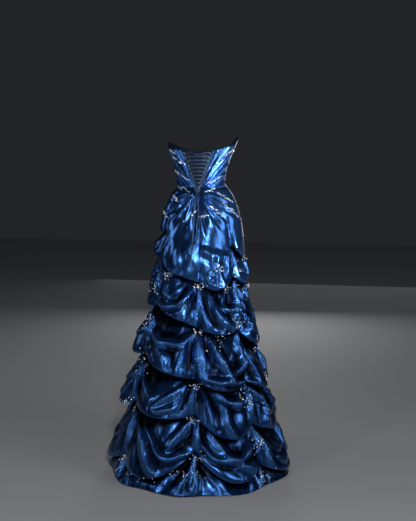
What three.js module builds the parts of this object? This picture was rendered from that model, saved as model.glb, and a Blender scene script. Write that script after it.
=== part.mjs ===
// A strapless prom dress of taffeta, held in the shape that it has when worn.
// Millimetres, +Z up. The origin is at the waist, on the middle line of the figure.
// The wearer's front faces -Y. Angles run from centre back (+Y) towards the wearer's right (-X).
import * as THREE from "three";

const DEGREE = Math.PI / 180;
const FLOOR = -1168; // the hem, below the waist
const CLOTH = 2; // taffeta with its backing
const SEAM_GAP = 0.3; // between two pieces that are sewn together
const SIDE_SEAM = 90;
const PRINCESS_SEAM = 146;

// ---------------------------------------------------------------- the figure

// Half-width at the sides and depth at back and front, for each height.
const FIGURE = [
  { z: 206, side: 152, back: 96, front: 118 },
  { z: 175, side: 143, back: 93, front: 118 },
  { z: 145, side: 130, back: 90, front: 113 },
  { z: 115, side: 118, back: 87, front: 104 },
  { z: 65, side: 101, back: 82, front: 92 },
  { z: 15, side: 96, back: 79, front: 84 },
  { z: 0, side: 106, back: 79, front: 84 },
  { z: -15, side: 117, back: 88, front: 92 },
  { z: -32, side: 128, back: 98, front: 99 },
  { z: -80, side: 145, back: 117, front: 112 },
  { z: -130, side: 154, back: 133, front: 122 },
  { z: -180, side: 158, back: 147, front: 130 },
  { z: -250, side: 161, back: 157, front: 138 },
  { z: -330, side: 163, back: 162, front: 144 },
  { z: -450, side: 168, back: 166, front: 152 },
  { z: -560, side: 188, back: 184, front: 170 },
  { z: -710, side: 220, back: 220, front: 204 },
  { z: -870, side: 260, back: 262, front: 248 },
  { z: -1030, side: 298, back: 302, front: 288 },
  { z: -1168, side: 348, back: 352, front: 338 },
];

// The skirt's middle line leans towards the wearer's left lower down.
const LEAN = { by: 8, from: -420, to: -640 };

// The top edge of the bodice, for each angle from centre back. It sits a little lower on the wearer's left.
const BACK_TOP = 144;
const NECKLINE = [
  { angle: -180, z: 143 },
  { angle: -150, z: 153 },
  { angle: -125, z: 166 },
  { angle: -104, z: 181 },
  { angle: -82, z: 166 },
  { angle: -60, z: 155 },
  { angle: -30, z: 146 },
  { angle: 0, z: BACK_TOP },
  { angle: 30, z: 147 },
  { angle: 60, z: 160 },
  { angle: 82, z: 176 },
  { angle: 104, z: 206 },
  { angle: 125, z: 178 },
  { angle: 150, z: 157 },
  { angle: 180, z: 143 },
];

const BUST = { angle: 149, z: 128, out: 17, wide: 24, tall: 46 };

function smoothStep(x) {
  const t = Math.min(1, Math.max(0, x));
  return t * t * (3 - 2 * t);
}

function mix(a, b, t) {
  return a + (b - a) * t;
}

// An angle in degrees from centre back, from -180 to 180.
function degreesFromBack(angle) {
  return ((((angle / DEGREE) % 360) + 540) % 360) - 180;
}

// A smooth curve through a table's rows, which may rise or fall along `along`.
function curveThrough(table, along, key, x) {
  const rising = table[1][along] > table[0][along];
  const rows = rising ? table : [...table].reverse();
  const last = rows.length - 1;
  const at = Math.min(Math.max(x, rows[0][along]), rows[last][along]);
  let i = 0;
  while (i < last - 1 && at > rows[i + 1][along]) i += 1;
  const slope = (j) => {
    const low = rows[Math.max(0, j - 1)];
    const high = rows[Math.min(last, j + 1)];
    return (high[key] - low[key]) / (high[along] - low[along]);
  };
  const width = rows[i + 1][along] - rows[i][along];
  const t = (at - rows[i][along]) / width;
  const start = (1 + 2 * t) * (1 - t) ** 2 * rows[i][key];
  const end = t * t * (3 - 2 * t) * rows[i + 1][key];
  const bendStart = t * (1 - t) ** 2 * width * slope(i);
  const bendEnd = t * t * (t - 1) * width * slope(i + 1);
  return start + end + bendStart + bendEnd;
}

// The distance from the middle line to the figure: an ellipse with its own depth at back and front.
function figureRadius(angle, z) {
  const side = curveThrough(FIGURE, "z", "side", z);
  const depth = curveThrough(FIGURE, "z", Math.cos(angle) > 0 ? "back" : "front", z);
  return 1 / Math.hypot(Math.sin(angle) / side, Math.cos(angle) / depth);
}

function placed(radius, angle, z) {
  const lean = LEAN.by * smoothStep((z - LEAN.from) / (LEAN.to - LEAN.from));
  return new THREE.Vector3(lean - radius * Math.sin(angle), radius * Math.cos(angle), z);
}

// ------------------------------------------------------------ walls of cloth

// A closed wall over a grid: surface(u, row) gives its middle surface, u from 0 to 1 across the piece.
// Each point is moved half the cloth's thickness both ways, square to the surface, and level along the top
// and bottom edges. The side edges are set back by half of the gap at a seam.
function clothWall(surface, columns, rows, thickness = CLOTH) {
  const step = 1e-3;
  const last = rows.length - 1;
  const outer = [];
  const inner = [];
  for (let j = 0; j <= last; j += 1) {
    for (let i = 0; i <= columns; i += 1) {
      const u = i / columns;
      const here = surface(u, rows[j]);
      const down = new THREE.Vector3();
      if (j > 0) down.add(here.clone().sub(surface(u, rows[j - 1])).normalize());
      if (j < last) down.add(surface(u, rows[j + 1]).sub(here).normalize());
      const before = here.clone().sub(surface(u - step, rows[j])).normalize();
      const after = surface(u + step, rows[j]).sub(here).normalize();
      const along = before.add(after).normalize();
      const out = down.cross(along);
      if (j === 0 || j === last) out.z = 0;
      out.normalize().multiplyScalar(thickness / 2);
      if (i === 0) here.addScaledVector(along, SEAM_GAP / 2);
      if (i === columns) here.addScaledVector(along, -SEAM_GAP / 2);
      outer.push(here.clone().add(out));
      inner.push(here.clone().sub(out));
    }
  }
  return closedShell(outer, inner, columns, last);
}

// Two grids of points of the same size, outer and inner, closed round their edges.
function closedShell(outer, inner, columns, rowCount) {
  const wide = columns + 1;
  const count = outer.length;
  const positions = [...outer, ...inner].flatMap((p) => [p.x, p.y, p.z]);
  const faces = [];
  const quad = (a, b, c, d) => faces.push(a, b, c, a, c, d);
  for (let j = 0; j < rowCount; j += 1) {
    for (let i = 0; i < columns; i += 1) {
      const a = j * wide + i;
      quad(a, a + wide, a + wide + 1, a + 1);
      quad(count + a, count + a + 1, count + a + wide + 1, count + a + wide);
    }
  }
  const bottom = rowCount * wide;
  for (let i = 0; i < columns; i += 1) {
    quad(i, i + 1, count + i + 1, count + i);
    quad(bottom + i, count + bottom + i, count + bottom + i + 1, bottom + i + 1);
  }
  for (let j = 0; j < rowCount; j += 1) {
    const a = j * wide;
    const b = a + columns;
    quad(a, count + a, count + a + wide, a + wide);
    quad(b, b + wide, count + b + wide, count + b);
  }
  const geometry = new THREE.BufferGeometry();
  geometry.setAttribute("position", new THREE.Float32BufferAttribute(positions, 3));
  geometry.setIndex(faces);
  return geometry;
}

// ---------------------------------------------------------------- the skirt

// The eight seams, from the back one round by the wearer's right, in degrees. The cloth is picked up on them.
// The back seam swings a little to the right of the lacing.
const SEAMS = [7, 54, 94, 138, 180, 222, 264, 308, 367];

// Each row is one tier of the skirt, from the hip down. `pick` is the height of its folded lower edge on each
// seam, `swag` that height halfway between two seams, and `out` how far it stands out halfway.
// The columns of `swag` and `out` are: back, side back, side front and front on the wearer's right, then
// front, side front, side back and back on the left.
const TIERS = [
  {
    pick: [-205, -236, -288, -262, -236, -226, -196, -176],
    swag: [-222, -264, -300, -262, -244, -232, -190, -190],
    out: [10, 18, 22, 18, 14, 16, 12, 8],
  },
  {
    pick: [-368, -350, -388, -362, -380, -318, -252, -300],
    swag: [-398, -384, -404, -404, -372, -318, -262, -336],
    out: [40, 36, 38, 36, 36, 36, 38, 42],
  },
  {
    pick: [-545, -564, -648, -564, -556, -502, -467, -471],
    swag: [-571, -625, -648, -602, -564, -523, -484, -502],
    out: [56, 54, 50, 52, 54, 54, 54, 58],
  },
  {
    pick: [-739, -758, -795, -742, -727, -710, -648, -663],
    swag: [-784, -805, -805, -778, -759, -719, -677, -712],
    out: [64, 60, 56, 58, 60, 64, 70, 66],
  },
  {
    pick: [-871, -928, -949, -901, -893, -882, -869, -856],
    swag: [-961, -969, -959, -937, -925, -912, -893, -888],
    out: [68, 60, 56, 58, 62, 66, 74, 68],
  },
  {
    pick: [-1006, -1084, -1107, -1072, -1040, -1072, -1103, -1072],
    swag: [-1120, -1133, -1122, -1113, -1096, -1105, -1118, -1116],
    out: [62, 66, 58, 56, 58, 60, 64, 62],
  },
];

// How a tier swells from its stitches to its edge: shares of its height and of how far it stands out.
const SWELL = { start: 0.18, shoulder: 0.48, shoulderOut: 0.82, firstStart: 0.2, firstDown: 0.28 };
// Where the first tier isn't tucked it runs on smoothly to this far below its edge.
const UNTUCKED = { below: 6, hidden: 20, out: 0.35 };
const FOLD = {
  seamShare: 0.46, // how far a tier's edge stands out on a seam, as a share of its standing out halfway
  swellShare: 0.76, // the same for its swell above the edge
  seamHang: 15, // a fold hangs this far below its stitches on a seam
  midHang: 50, // and this far halfway between two seams
  seamRoll: 3.2, // radius of the rolled lower edge
  midRoll: 8,
  topRoll: 3, // radius of the turn at the stitches
  rise: 1.2, // the roll's inner side ends this many radii above the edge
  below: 9, // the next tier shows from this far below the edge
};
// The hip's tuck is only at the sides: it dies out towards centre back and centre front.
const HIP_TUCK = { backFrom: 47, backFull: 66, frontFull: 120, frontTo: 138 };
const HEM = { out: 34, ripple: 9, ripples: 9, phase: 0.6, lift: 5, lifts: 5 };
const HEM_FALL = [{ down: 0.15, out: 0.45 }, { down: 0.6, out: 0.8 }];
const GATHERS = { around: 18, deep: 4.5, fade: [0, 1, 0.7, 0.25, 0, 0, 0, 0] };
// The pleats spread like rays, measured on a flat hip of this radius.
const HIP_PLEATS = {
  radius: 115,
  top: -4, // height of the point that the pleats spread from
  width: 13 * DEGREE,
  deep: 3.2,
  from: 18, // they begin this far from that point
  rise: 40,
  fall: 115,
  to: 210,
};

const ROWS_IN_TIER = 8;

// Which gore an angle is in, and how far across it.
function goreAt(angle) {
  const turned = SEAMS[0] + ((((angle / DEGREE - SEAMS[0]) % 360) + 360) % 360);
  let gore = 0;
  while (gore < 7 && turned >= SEAMS[gore + 1]) gore += 1;
  return { gore, share: (turned - SEAMS[gore]) / (SEAMS[gore + 1] - SEAMS[gore]) };
}

// The fold of one tier at one angle. Between two seams its edge hangs in a swag.
function foldAt(angle, tier) {
  const { gore, share } = goreAt(angle);
  const { pick, swag, out } = TIERS[tier];
  const next = (gore + 1) % 8;
  const before = (gore + 7) % 8;
  const middle = Math.sin(Math.PI * share);
  const sag = swag[gore] - (pick[gore] + pick[next]) / 2;
  const edge = mix(pick[gore], pick[next], share) + sag * 4 * share * (1 - share);
  const seamOut = mix((out[before] + out[gore]) / 2, (out[gore] + out[next]) / 2, share);
  return {
    edge,
    out: mix(FOLD.seamShare * seamOut, out[gore], middle),
    swell: mix(FOLD.swellShare * seamOut, out[gore], middle),
    root: edge + mix(FOLD.seamHang, FOLD.midHang, middle),
    roll: mix(FOLD.seamRoll, FOLD.midRoll, middle),
  };
}

// How strongly the hip's tuck is folded at an angle, from 0 to 1.
function tuckStrength(angle) {
  const turned = Math.abs(degreesFromBack(angle));
  const opening = smoothStep((turned - HIP_TUCK.backFrom) / (HIP_TUCK.backFull - HIP_TUCK.backFrom));
  const closing = smoothStep((HIP_TUCK.frontTo - turned) / (HIP_TUCK.frontTo - HIP_TUCK.frontFull));
  return opening * closing;
}

// The line that the cloth follows from waist to hem at one angle, as heights and distances out from the
// figure. Each tier swells, rolls under at its lower edge, runs back up to its stitches and turns down again.
function clothLine(angle) {
  const line = [];
  let start = { z: -SEAM_GAP / 2, shows: -SEAM_GAP / 2, out: 0 };
  for (let tier = 0; tier < TIERS.length; tier += 1) {
    const { edge, root, out, swell, roll } = foldAt(angle, tier);
    const strength = tier === 0 ? tuckStrength(angle) : 1;
    const side = edge + roll;
    const firstShare = tier === 0 ? SWELL.firstDown : 0;
    const firstOut = tier === 0 ? SWELL.firstStart : SWELL.start;
    const first = mix(start.shows, side, firstShare);
    const folded = [
      { z: start.z, out: 0 },
      { z: first, out: swell * firstOut },
      { z: mix(first, side, SWELL.shoulder), out: swell * SWELL.shoulderOut },
      { z: side, out },
      { z: edge, out: out - roll },
      { z: edge + FOLD.rise * roll, out: out - 2 * roll },
      { z: root - FOLD.topRoll, out: 2 * FOLD.topRoll },
      { z: root, out: FOLD.topRoll },
    ];
    const plainTo = edge - UNTUCKED.below;
    folded.forEach((knot, k) => {
      const share = k / ROWS_IN_TIER;
      const plain = { z: mix(start.z, plainTo, share), out: out * UNTUCKED.out * share };
      line.push({ z: mix(plain.z, knot.z, strength), out: mix(plain.out, knot.out, strength) });
    });
    start = {
      z: mix(plainTo, root - FOLD.topRoll, strength),
      shows: mix(plainTo - UNTUCKED.hidden, edge - FOLD.below, strength),
    };
  }
  const hem = FLOOR + HEM.lift * (1 + Math.cos(HEM.lifts * angle)) / 2;
  const ripple = HEM.ripple * Math.cos(HEM.ripples * angle + HEM.phase);
  line.push({ z: start.z, out: 0 });
  const [upper, lower] = HEM_FALL;
  line.push({ z: mix(start.shows, hem, upper.down), out: HEM.out * upper.out });
  line.push({ z: mix(start.shows, hem, lower.down), out: HEM.out * lower.out + ripple / 2 });
  line.push({ z: hem, out: HEM.out + ripple });
  return line;
}

// Gathers below the stitches of each tier: soft ridges that fade out towards its edge.
function gatherDepth(angle, row) {
  const tier = Math.floor(row / ROWS_IN_TIER);
  if (tier === 0) return 0;
  return GATHERS.deep * GATHERS.fade[row % ROWS_IN_TIER] * Math.cos(GATHERS.around * angle + tier);
}

// Pleats that spread over the hips from the foot of the lacing.
function hipPleatDepth(angle, z) {
  const down = HIP_PLEATS.top - z;
  const across = HIP_PLEATS.radius * degreesFromBack(angle) * DEGREE;
  const reach = Math.hypot(across, down);
  const fadeIn = smoothStep((reach - HIP_PLEATS.from) / HIP_PLEATS.rise);
  const fadeOut = smoothStep((HIP_PLEATS.to - reach) / (HIP_PLEATS.to - HIP_PLEATS.fall));
  const spread = Math.atan2(across, Math.max(down, 0));
  return HIP_PLEATS.deep * fadeIn * fadeOut * Math.cos((2 * Math.PI * spread) / HIP_PLEATS.width);
}

function skirtPoint(angle, row) {
  const { z, out } = clothLine(angle)[row];
  const radius = figureRadius(angle, z) + out + gatherDepth(angle, row) + hipPleatDepth(angle, z);
  return placed(radius, angle, z);
}

const SKIRT_ROWS = Array.from({ length: TIERS.length * ROWS_IN_TIER + 4 }, (_, row) => row);

// The gores in the order of their seams.
const GORES = [
  { name: "skirt_back_right", columns: 9 },
  { name: "skirt_side_back_right", columns: 7 },
  { name: "skirt_side_front_right", columns: 5 },
  { name: "skirt_front_right", columns: 4 },
  { name: "skirt_front_left", columns: 4 },
  { name: "skirt_side_front_left", columns: 5 },
  { name: "skirt_side_back_left", columns: 7 },
  { name: "skirt_back_left", columns: 9 },
];

function skirtGore(index, columns) {
  const from = SEAMS[index] * DEGREE;
  const to = SEAMS[index + 1] * DEGREE;
  return clothWall((u, row) => skirtPoint(mix(from, to, u), row), columns, SKIRT_ROWS);
}

// ---------------------------------------------------------------- the bodice

// Half the width of the laced opening at centre back.
const OPENING = { topHalf: 57, waistHalf: 13, ease: 6 };
// The pleats spread like rays, measured on a flat back of this radius. A band beside the lacing is plain.
const BACK_PLEATS = { radius: 105, centre: -34, width: 11 * DEGREE, deep: 5, plain: 10, rise: 14, side: 4 };

function necklineHeight(angle) {
  return curveThrough(NECKLINE, "angle", "z", degreesFromBack(angle));
}

function bustOut(angle, z) {
  const turned = Math.abs(degreesFromBack(angle));
  const wide = (turned - BUST.angle) / BUST.wide;
  const tall = (z - BUST.z) / BUST.tall;
  return BUST.out * Math.exp(-wide * wide - tall * tall);
}

function openingHalf(z) {
  return mix(OPENING.waistHalf, OPENING.topHalf, Math.max(z, 0) / BACK_TOP);
}

// Pleats laid over each half of the back, from its outer top corner towards the foot of the lacing.
function backPleatDepth(angle, z) {
  const { radius, centre, width, deep, plain, rise, side } = BACK_PLEATS;
  const across = radius * Math.abs(degreesFromBack(angle)) * DEGREE;
  const spread = Math.atan2(across, z - centre);
  const fromEdge = across - radius * openingAngle(z);
  const toSide = (SIDE_SEAM - side) * DEGREE * radius - across;
  const fade = smoothStep((fromEdge - plain) / rise) * smoothStep(toSide / rise);
  return deep * fade * (0.5 + 0.5 * Math.cos((2 * Math.PI * spread) / width));
}

function bodicePoint(angle, z, pleated) {
  const pleats = pleated ? backPleatDepth(angle, z) : 0;
  return placed(figureRadius(angle, z) + bustOut(angle, z) + pleats, angle, z);
}

// A panel between two angles, each of which may change with height.
function bodicePanel(fromAt, toAt, columns, rowCount, pleated = false) {
  const rows = Array.from({ length: rowCount + 1 }, (_, row) => row / rowCount);
  const surface = (u, down) => {
    const topAngle = mix(fromAt(BACK_TOP), toAt(BACK_TOP), u);
    const z = mix(necklineHeight(topAngle), SEAM_GAP / 2, down);
    return bodicePoint(mix(fromAt(z), toAt(z), u), z, pleated);
  };
  return clothWall(surface, columns, rows);
}

// The angle at which a half of the back ends beside the lacing.
function openingAngle(z) {
  const back = curveThrough(FIGURE, "z", "back", z);
  return Math.asin(openingHalf(z) / (back + OPENING.ease));
}

const fixed = (degrees) => () => degrees * DEGREE;

// ------------------------------------------------- the lacing and its panel

const MODESTY = { lap: 9, lower: 5, clear: 0.5 };
// On each side one cord is sewn to the back's edge in a row of loops.
const LOOPS = {
  pairs: 9,
  top: 133,
  bottom: 13,
  cord: 2.4,
  reach: 7, // a loop stands this far past the edge
  straight: 1.4, // and its two sides run straight this far
  foot: 5, // and is sewn down this far inside it
  high: 4.2,
  sides: 6,
  steps: 78,
};
const LACE = {
  cord: 3.6,
  sides: 6,
  steps: 78,
  lift: 6, // above the back's middle surface at a loop
  crossing: 3, // higher by this where the two strands cross
  over: 2.2, // and one strand passes this far over the other
  knotX: 3.5,
  knotY: 92.5,
  knotZ: 2.2,
};
const KNOT = { z: -7, wide: 13, high: 9, deep: 6, rest: -15 };

// The panel behind the lacing lies just inside the back, and laps under both edges.
function modestyPanel() {
  const inward = CLOTH + MODESTY.clear;
  const rows = [0, 0.2, 0.4, 0.6, 0.8, 1];
  const surface = (u, down) => {
    const z = mix(BACK_TOP - MODESTY.lower, SEAM_GAP / 2, down);
    const half = (openingHalf(z) + MODESTY.lap) / openingHalf(z);
    const angle = mix(-1, 1, u) * openingAngle(z) * half;
    return placed(figureRadius(angle, z) - inward, angle, z);
  };
  return clothWall(surface, 6, rows);
}

// Where loop number k sits, on side -1 (left) or 1 (right), and how far out the cord through it lies.
function loopPlace(k, side) {
  const z = mix(LOOPS.top, LOOPS.bottom, k / (LOOPS.pairs - 1));
  return { z, edge: side * openingAngle(z) };
}

function tube(points, width, sides, steps) {
  const section = new THREE.Shape();
  for (let i = 0; i < sides; i += 1) {
    const turn = (2 * Math.PI * i) / sides;
    const x = (width / 2) * Math.cos(turn);
    const y = (width / 2) * Math.sin(turn);
    if (i === 0) section.moveTo(x, y);
    else section.lineTo(x, y);
  }
  section.closePath();
  const path = new THREE.CatmullRomCurve3(points, false, "centripetal");
  return new THREE.ExtrudeGeometry(section, { steps, bevelEnabled: false, extrudePath: path });
}

// A point that lies `out` from the back's middle surface, and `inward` of the angle `edge` along it.
function onBack(edge, inward, z, out) {
  const angle = edge - inward / figureRadius(edge, z);
  return placed(figureRadius(angle, z) + out, angle, z);
}

// The loops of one side: the cord runs out and home again at each loop, and on to the next.
function loopCord(side) {
  const out = CLOTH / 2 + 2 * SEAM_GAP + LOOPS.cord / 2;
  const { foot, reach, straight, high } = LOOPS;
  const points = [];
  for (let k = 0; k < LOOPS.pairs; k += 1) {
    const { z, edge } = loopPlace(k, side);
    const at = (inward, up) => points.push(onBack(edge, side * inward, z + up, out));
    at(-foot, high);
    at(straight, high);
    at(reach, 0);
    at(straight, -high);
    at(-foot, -high);
  }
  return tube(points, LOOPS.cord, LOOPS.sides, LOOPS.steps);
}

// The lace starts at the knot, climbs one side and the other in turn, crosses the top and comes down again.
function laceRoute() {
  const points = [];
  const turn = (k, side) => {
    const { z, edge } = loopPlace(k, side);
    const inward = LOOPS.reach - (LOOPS.cord + LACE.cord) / 2;
    points.push(onBack(edge, side * inward, z, LACE.lift));
  };
  const cross = (k, lift) => {
    const z = mix(loopPlace(k, 1).z, loopPlace(k + 1, 1).z, 0.5);
    points.push(placed(figureRadius(0, z) + LACE.lift + LACE.crossing + lift, 0, z));
  };
  const atKnot = (side) => points.push(new THREE.Vector3(-side * LACE.knotX, LACE.knotY, LACE.knotZ));
  const lowest = LOOPS.pairs - 1;
  let side = -1;
  atKnot(side);
  for (let k = lowest; k > 0; k -= 1) {
    turn(k, side);
    cross(k - 1, LACE.over);
    side = -side;
  }
  turn(0, side);
  points.push(placed(figureRadius(0, LOOPS.top) + LACE.lift + LACE.crossing, 0, LOOPS.top));
  side = -side;
  for (let k = 0; k < lowest; k += 1) {
    turn(k, side);
    cross(k, -LACE.over);
    side = -side;
  }
  turn(lowest, side);
  atKnot(side);
  return points;
}

// The two free ends, from under the knot down the middle of the back. They lie on the skirt.
const LONG_END = [
  [3, 94.2, -16.9],
  [4, 100, -26],
  [5, 108, -40],
  [6, 116, -56],
  [7, 122, -74],
  [8, 128, -94],
  [8, 134, -114],
  [7, 141, -134],
  [6, 147, -154],
  [6, 152, -174],
  [7, 156, -194],
  [8, 162, -214],
  [8, 171.7, -234],
  [7, 179.7, -252],
  [7, 188.3, -270],
  [8, 194.4, -286],
];
const SHORT_END = [
  [-4, 94.2, -16.7],
  [-5, 101, -26],
  [-6, 107, -38],
  [-7, 114, -52],
  [-8, 120, -68],
  [-9, 125, -84],
  [-10, 130, -100],
  [-10, 135, -116],
  [-9, 141, -132],
  [-8, 146, -148],
  [-8, 150, -164],
  [-9, 153, -180],
  [-10, 156, -196],
  [-10, 157, -208],
];

function freeEnd(points) {
  const route = points.map(([x, y, z]) => new THREE.Vector3(x, y, z));
  return tube(route, LACE.cord, 8, points.length + 4);
}

function knotSolid() {
  const knot = new THREE.SphereGeometry(1, 10, 7);
  knot.scale(KNOT.wide, KNOT.deep, KNOT.high);
  const centre = placed(figureRadius(0, KNOT.rest) + CLOTH / 2 + KNOT.deep, 0, KNOT.z);
  knot.translate(centre.x, centre.y, centre.z);
  return knot;
}

// ------------------------------------------------------------ putting together

const TAFFETA = new THREE.MeshStandardMaterial({ color: 0x123a78, roughness: 0.35, metalness: 0.3 });
const LINING = new THREE.MeshStandardMaterial({ color: 0x0c2148, roughness: 0.5, metalness: 0.1 });
const CORD = new THREE.MeshStandardMaterial({ color: 0x1a2c4c, roughness: 0.45, metalness: 0.1 });

const dress = new THREE.Group();

function add(name, geometry, material) {
  const mesh = new THREE.Mesh(geometry, material);
  mesh.name = name;
  dress.add(mesh);
}

GORES.forEach(({ name, columns }, index) => add(name, skirtGore(index, columns), TAFFETA));

add("bodice_back_right", bodicePanel(openingAngle, fixed(SIDE_SEAM), 13, 9, true), TAFFETA);
const leftOpening = (z) => -openingAngle(z);
add("bodice_back_left", bodicePanel(fixed(-SIDE_SEAM), leftOpening, 13, 9, true), TAFFETA);
add("bodice_side_front_right", bodicePanel(fixed(SIDE_SEAM), fixed(PRINCESS_SEAM), 6, 8), TAFFETA);
add("bodice_side_front_left", bodicePanel(fixed(-PRINCESS_SEAM), fixed(-SIDE_SEAM), 6, 8), TAFFETA);
add("bodice_front", bodicePanel(fixed(PRINCESS_SEAM), fixed(360 - PRINCESS_SEAM), 8, 8), TAFFETA);
add("modesty_panel", modestyPanel(), LINING);

add("loop_cord_right", loopCord(1), CORD);
add("loop_cord_left", loopCord(-1), CORD);
add("lacing", tube(laceRoute(), LACE.cord, LACE.sides, LACE.steps), CORD);
add("lacing_knot", knotSolid(), CORD);
add("lacing_end_long", freeEnd(LONG_END), CORD);
add("lacing_end_short", freeEnd(SHORT_END), CORD);

export default dress;
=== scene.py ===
# %% [markdown]
# # A prom dress with a laced back
# The dress is taffeta: a crisp cloth that shines like metal foil and holds every crease. Its skirt is
# picked up in tiers. This lesson dresses a fixed frame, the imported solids, with thin shells of cloth that
# follow the same lines, and adds the creases, the seams, the lacing and the beads.

# %% The frame
import math

import bmesh
import bpy
import numpy as np
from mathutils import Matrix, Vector, noise
from mathutils.bvhtree import BVHTree


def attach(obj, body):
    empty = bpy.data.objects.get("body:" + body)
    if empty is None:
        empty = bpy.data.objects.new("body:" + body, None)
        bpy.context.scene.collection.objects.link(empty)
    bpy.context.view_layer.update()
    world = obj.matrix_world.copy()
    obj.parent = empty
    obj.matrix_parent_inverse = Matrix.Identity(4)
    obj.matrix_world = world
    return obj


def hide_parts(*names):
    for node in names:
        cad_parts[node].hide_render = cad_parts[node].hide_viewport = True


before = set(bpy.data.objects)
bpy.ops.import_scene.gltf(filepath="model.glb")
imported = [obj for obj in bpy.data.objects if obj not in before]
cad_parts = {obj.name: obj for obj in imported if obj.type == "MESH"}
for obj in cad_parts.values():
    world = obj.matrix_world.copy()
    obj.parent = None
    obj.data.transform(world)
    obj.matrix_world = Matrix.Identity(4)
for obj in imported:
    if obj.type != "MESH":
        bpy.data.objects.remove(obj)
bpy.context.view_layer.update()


def add_object(name, data):
    """A new object in the scene, at the origin."""
    made = bpy.data.objects.new(name, data)
    bpy.context.scene.collection.objects.link(made)
    return made


# %% [markdown]
# ## The camera
# It stands a little to one side of centre back, level with the top of the back, and looks slightly down.

# %% Camera
MM = 0.001
AROUND = math.radians(190.5)
TILT = math.radians(7.1)
ASIDE = math.radians(0.424)
AWAY, HEIGHT = 3.6, 0.146
FOCAL_LENGTH = 60.67

right = Vector((math.cos(AROUND), math.sin(AROUND), 0))
back = Vector((math.sin(AROUND), -math.cos(AROUND), 0))
level = -back * math.cos(ASIDE) + right * math.sin(ASIDE)
aim = level * math.cos(TILT) + Vector((0, 0, -math.sin(TILT)))
lens = bpy.data.cameras.new("camera")
lens.sensor_fit = "VERTICAL"
lens.sensor_height = 36
lens.lens = FOCAL_LENGTH
camera = add_object("camera", lens)
camera.location = back * AWAY + Vector((0, 0, HEIGHT))
camera.rotation_euler = aim.to_track_quat("-Z", "Y").to_euler()
bpy.context.scene.camera = camera
print("camera", [round(v, 3) for v in camera.location])

# %% [markdown]
# ## The free ends of the lace
# A satin cord 3.6 mm thick, limp, that hangs from the knot and lies on the skirt. A curve with a round
# bevel is the plain way to make a cord: the line gives its length, the bevel its thickness. It is then
# turned into a mesh, because a curve's own box is larger than the cord.

# %% Free ends
LACE_WIDTH = 3.6
LONG_END = [
    (3, 94.2, -16.9), (4, 100, -26), (5, 108, -40), (6, 116, -56), (7, 122, -74), (8, 128, -94),
    (8, 134, -114), (7, 141, -134), (6, 147, -154), (6, 152, -174), (7, 156, -194), (8, 162, -214),
    (8, 171.7, -234), (7, 179.7, -252), (7, 188.3, -270), (8, 194.4, -286),
]
SHORT_END = [
    (-4, 94.2, -16.7), (-5, 101, -26), (-6, 107, -38), (-7, 114, -52), (-8, 120, -68), (-9, 125, -84),
    (-10, 130, -100), (-10, 135, -116), (-9, 141, -132), (-8, 146, -148), (-8, 150, -164), (-9, 153, -180),
    (-10, 156, -196), (-10, 157, -208),
]


cords = []


def cord_along(name, node, points, width, closed=False):
    """A round cord through points in millimetres, as a mesh that is shown in place of a node."""
    line = bpy.data.curves.new(name, "CURVE")
    line.dimensions = "3D"
    line.bevel_depth = width * MM / 2
    line.bevel_resolution = 3
    line.resolution_u = 6
    line.use_fill_caps = True
    spline = line.splines.new("BEZIER")
    spline.bezier_points.add(len(points) - 1)
    for knot, point in zip(spline.bezier_points, points):
        knot.co = Vector(point) * MM
        knot.handle_left_type = knot.handle_right_type = "AUTO"
    spline.use_cyclic_u = closed
    bent = add_object(name + "_line", line)
    piece = add_object(name, bpy.data.meshes.new_from_object(bent))
    bpy.data.objects.remove(bent)
    bpy.data.curves.remove(line)
    for face in piece.data.polygons:
        face.use_smooth = True
    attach(piece, "root")
    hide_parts(node)
    cords.append(piece)
    return piece


def line_length(points):
    return sum(math.dist(a, b) for a, b in zip(points, points[1:])) * MM


for name, points in (("long", LONG_END), ("short", SHORT_END)):
    end = cord_along("lace_end_" + name, "lacing_end_" + name, points, LACE_WIDTH)
    path = [[v * MM for v in point] for point in points]
    length = round(line_length(points), 3)
    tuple(path[0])
    print("lace end", name, length, "m")

# %% [markdown]
# ## The form of the figure
# Every piece of the dress is told as a distance out from the figure, at an angle from the centre back and a
# height from the waist. The figure is an ellipse at each height, with its own depth at the back and the
# front. The same short tables give the solids, so the cloth lies where they are.

# %% Tables and curves
FLOOR = -1168
PIECE_GAP = 0.3
SIDE_SEAM = 90
PRINCESS_SEAM = 146
FIGURE = np.array([
    # z, side, back, front
    (206, 152, 96, 118), (175, 143, 93, 118), (145, 130, 90, 113), (115, 118, 87, 104), (65, 101, 82, 92),
    (15, 96, 79, 84), (0, 106, 79, 84), (-15, 117, 88, 92), (-32, 128, 98, 99), (-80, 145, 117, 112),
    (-130, 154, 133, 122), (-180, 158, 147, 130), (-250, 161, 157, 138), (-330, 163, 162, 144),
    (-450, 168, 166, 152), (-560, 188, 184, 170), (-710, 220, 220, 204), (-870, 260, 262, 248),
    (-1030, 298, 302, 288), (-1168, 348, 352, 338),
], float)
BACK_TOP = 144
NECKLINE = np.array([
    # angle, z
    (-180, 143), (-150, 153), (-125, 166), (-104, 181), (-82, 166), (-60, 155), (-30, 146), (0, BACK_TOP),
    (30, 147), (60, 160), (82, 176), (104, 206), (125, 178), (150, 157), (180, 143),
], float)
LEAN = {"by": 8, "from": -420, "to": -640}
BUST = {"angle": 149, "z": 128, "out": 17, "wide": 24, "tall": 46}


def smooth_step(x):
    t = np.clip(x, 0, 1)
    return t * t * (3 - 2 * t)


def mix(a, b, t):
    return a + (b - a) * t


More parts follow.
